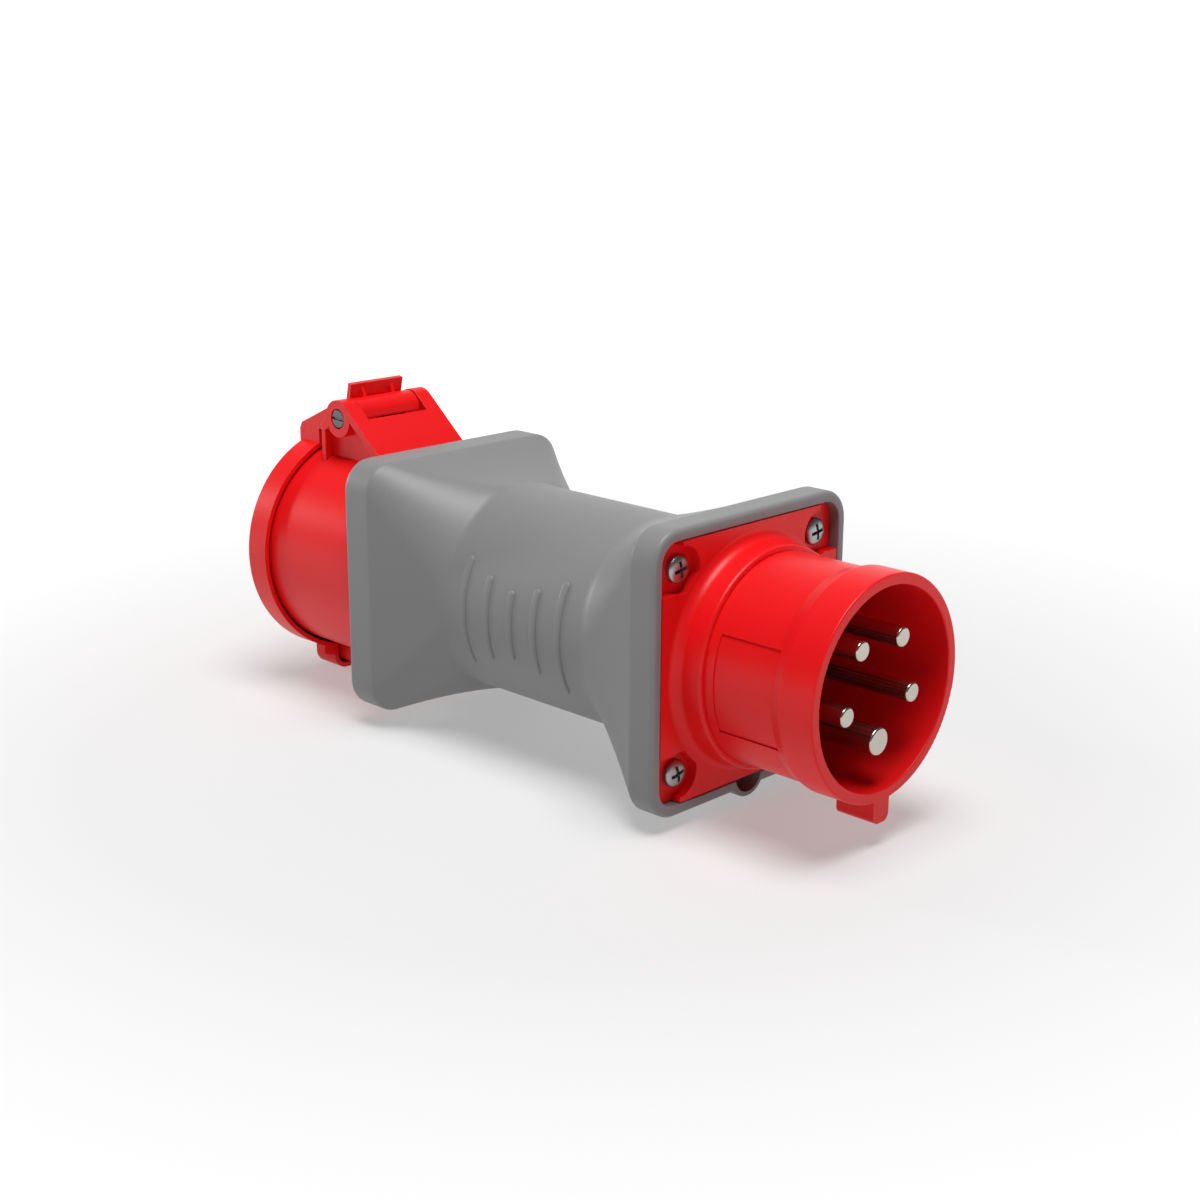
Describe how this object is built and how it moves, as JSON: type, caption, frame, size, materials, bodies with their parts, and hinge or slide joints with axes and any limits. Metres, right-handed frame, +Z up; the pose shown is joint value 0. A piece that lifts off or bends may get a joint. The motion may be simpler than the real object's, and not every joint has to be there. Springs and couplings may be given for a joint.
{
  "type": "pin and sleeve adapter",
  "caption": "Industrial pin and sleeve adapter: a round plug with a keyed shroud at one end and a socket with a sprung hinged lid at the other, on a waisted square-flanged housing.",
  "frame": {"origin": "centre of the plug's mouth, on the axis of the shroud", "axes": "+X leaves the plug along its axis towards the mating socket, +Z up with the key and earth pin at the bottom, +Y completes the right-handed frame"},
  "size_m": [0.2063, 0.0722, 0.0895],
  "materials": {
    "grey_plastic": "satin moulded mid grey",
    "red_plastic": "satin moulded signal red",
    "black_insulator": "matt black moulding",
    "gasket_rubber": "matt dark rubber",
    "zinc_steel": "bright zinc plated steel",
    "pin_steel": "dull grey steel",
    "spring_steel": "drawn spring wire",
    "nickel_plate": "nickel plated turned brass",
    "contact_brass": "turned brass",
    "insulation_green": "green and yellow wire insulation",
    "insulation_blue": "blue wire insulation",
    "insulation_brown": "brown wire insulation",
    "insulation_black": "black wire insulation",
    "insulation_grey": "grey wire insulation"
  },
  "bodies": {
    "body": {"housing": "grey_plastic", "plug_insert": "red_plastic", "plug_contact_carrier": "black_insulator", "plug_flange_gasket": "gasket_rubber", "plug_flange_screws": "zinc_steel", "plug_terminal_screws": "zinc_steel", "pin_earth": "nickel_plate", "pin_neutral": "nickel_plate", "pin_l1": "nickel_plate", "pin_l2": "nickel_plate", "pin_l3": "nickel_plate", "socket_insert": "red_plastic", "socket_contact_carrier": "black_insulator", "socket_core": "black_insulator", "socket_face": "black_insulator", "socket_flange_gasket": "gasket_rubber", "socket_flange_screws": "zinc_steel", "socket_terminal_screws": "zinc_steel", "sleeve_earth": "contact_brass", "sleeve_neutral": "contact_brass", "sleeve_l1": "contact_brass", "sleeve_l2": "contact_brass", "sleeve_l3": "contact_brass", "hinge_pin": "pin_steel", "lid_spring": "spring_steel", "wire_earth": "insulation_green", "wire_neutral": "insulation_blue", "wire_l1": "insulation_brown", "wire_l2": "insulation_black", "wire_l3": "insulation_grey"},
    "lid": {"lid": "red_plastic", "lid_seal": "gasket_rubber"}
  },
  "joints": [
    {"name": "lid_hinge", "type": "hinge", "parent": "body", "child": "lid", "pos_m": [-0.1841, 0, 0.04065], "axis": [0, 1, 0], "range_deg": [0, 92], "stiffness_Nm_per_rad": 0.05, "springref_deg": -91.67, "deforming": ["lid_spring"]}
  ]
}
